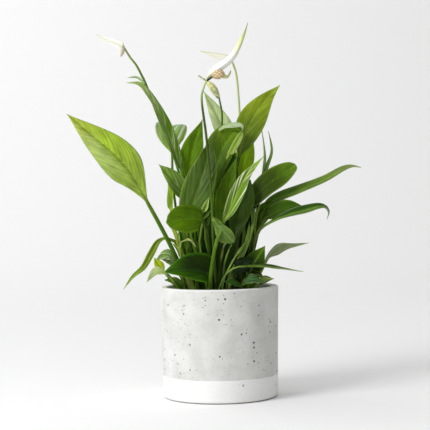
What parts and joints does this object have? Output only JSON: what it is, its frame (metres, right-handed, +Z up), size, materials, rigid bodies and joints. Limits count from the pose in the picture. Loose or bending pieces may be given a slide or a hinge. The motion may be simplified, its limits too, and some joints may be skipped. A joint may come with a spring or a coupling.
{
  "type": "potted peace lily",
  "caption": "Leafy peace lily with white flowers on thin stems, growing in soil in a plain round concrete pot with a white foot band.",
  "frame": {"origin": "middle of the pot's flat underside", "axes": "+Z up along the pot's axis; -Y is the front, the side that the picture shows"},
  "size_m": [0.372, 0.1792, 0.4666],
  "materials": {
    "pot": "matt cast concrete with small air holes, its foot dipped in white",
    "soil": "dark, damp, crumbly potting mix",
    "leaf": "satin leaf with sunken veins",
    "stem": "smooth satin",
    "spathe": "smooth white petal with a green tip",
    "spadix": "matt and knobbly"
  },
  "bodies": {
    "root": {"pot": "pot", "soil": "soil", "leaf_left_wide": "leaf", "leaf_left_tall": "leaf", "leaf_left_far": "leaf", "leaf_left_young": "leaf", "leaf_left_bright": "leaf", "leaf_left_pointed": "leaf", "leaf_left_arching": "leaf", "leaf_left_grey": "leaf", "leaf_left_lime": "leaf", "leaf_left_pale": "leaf", "leaf_middle_dark": "leaf", "leaf_middle_round": "leaf", "leaf_middle_high": "leaf", "leaf_middle_olive": "leaf", "leaf_middle_streaked": "leaf", "leaf_middle_new": "leaf", "leaf_middle_deep": "leaf", "leaf_middle_pale": "leaf", "leaf_middle_low": "leaf", "leaf_middle_shaded": "leaf", "leaf_middle_wilted": "leaf", "leaf_top_right": "leaf", "leaf_top_pale": "leaf", "leaf_top_behind": "leaf", "leaf_right_hanging": "leaf", "leaf_right_broad": "leaf", "leaf_right_long": "leaf", "leaf_right_under": "leaf", "leaf_right_hooked": "leaf", "leaf_right_grey": "leaf", "leaf_right_thin": "leaf", "leaf_right_small": "leaf", "leaf_right_dark": "leaf", "leaf_right_shaded": "leaf", "leaf_right_low": "leaf", "leaf_right_narrow_1": "leaf", "leaf_right_narrow_2": "leaf", "leaf_rim_1": "leaf", "leaf_rim_2": "leaf", "leaf_back_1": "leaf", "leaf_back_2": "leaf", "leaf_back_3": "leaf", "leaf_back_4": "leaf", "leaf_back_5": "leaf", "leaf_back_6": "leaf", "leaf_back_7": "leaf", "leaf_back_8": "leaf", "flower_left_stem": "stem", "flower_left_spathe": "spathe", "flower_left_spadix": "spadix", "flower_front_stem": "stem", "flower_front_spathe": "spathe", "flower_front_spadix": "spadix", "flower_back_stem": "stem", "flower_back_spathe": "spathe", "flower_back_spadix": "spadix", "flower_bud_stem": "stem", "flower_bud_spathe": "spathe"}
  },
  "joints": []
}
